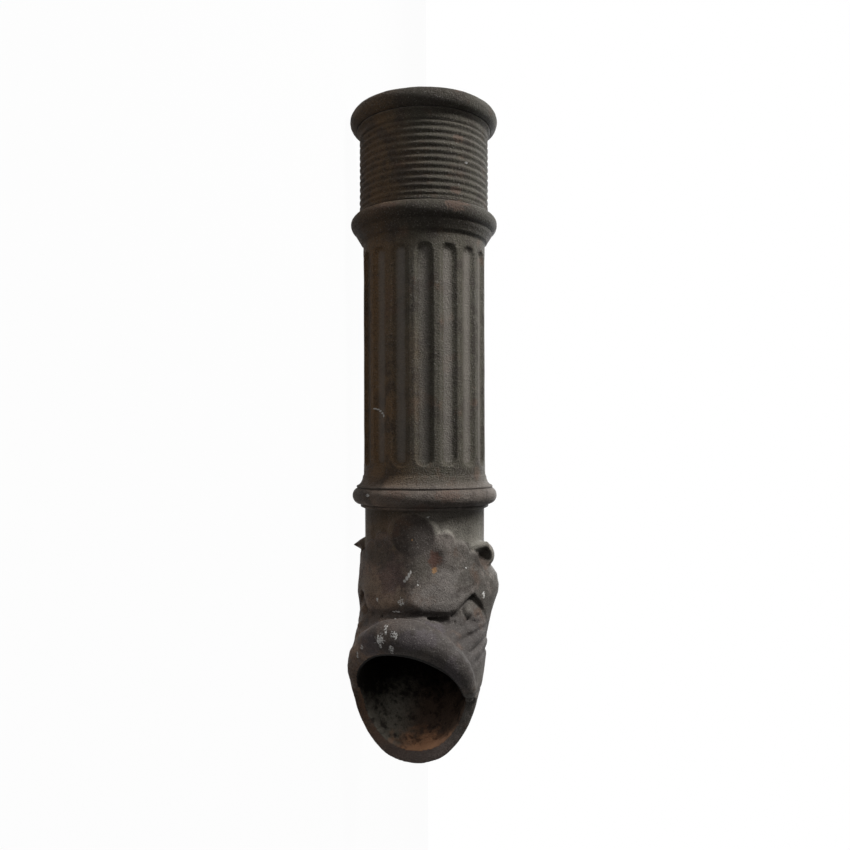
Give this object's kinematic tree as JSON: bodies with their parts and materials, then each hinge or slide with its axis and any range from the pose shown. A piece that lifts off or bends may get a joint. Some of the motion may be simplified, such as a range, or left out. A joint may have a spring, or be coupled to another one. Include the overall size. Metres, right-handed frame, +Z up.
{
  "type": "cast iron gutter outlet",
  "caption": "Cast-iron foot for a downpipe: a ribbed socket, a fluted shaft between two rings, and an open-mouthed dolphin head that throws the water forward.",
  "frame": {"origin": "middle of the floor under the casting's overall box, as it lies on its side", "axes": "+Z up, towards the head's left side; +Y along the pipe from the mouth to the socket; -X the way the head faces, 10.4 degrees below level"},
  "size_m": [0.1682, 0.5614, 0.132],
  "materials": {
    "cast_iron": "bare sand-cast iron, dark grey-brown, with blotches of pinkish brown rust and an orange stain inside the jaw"
  },
  "bodies": {
    "root": {"outlet_casting": "cast_iron"}
  },
  "joints": []
}
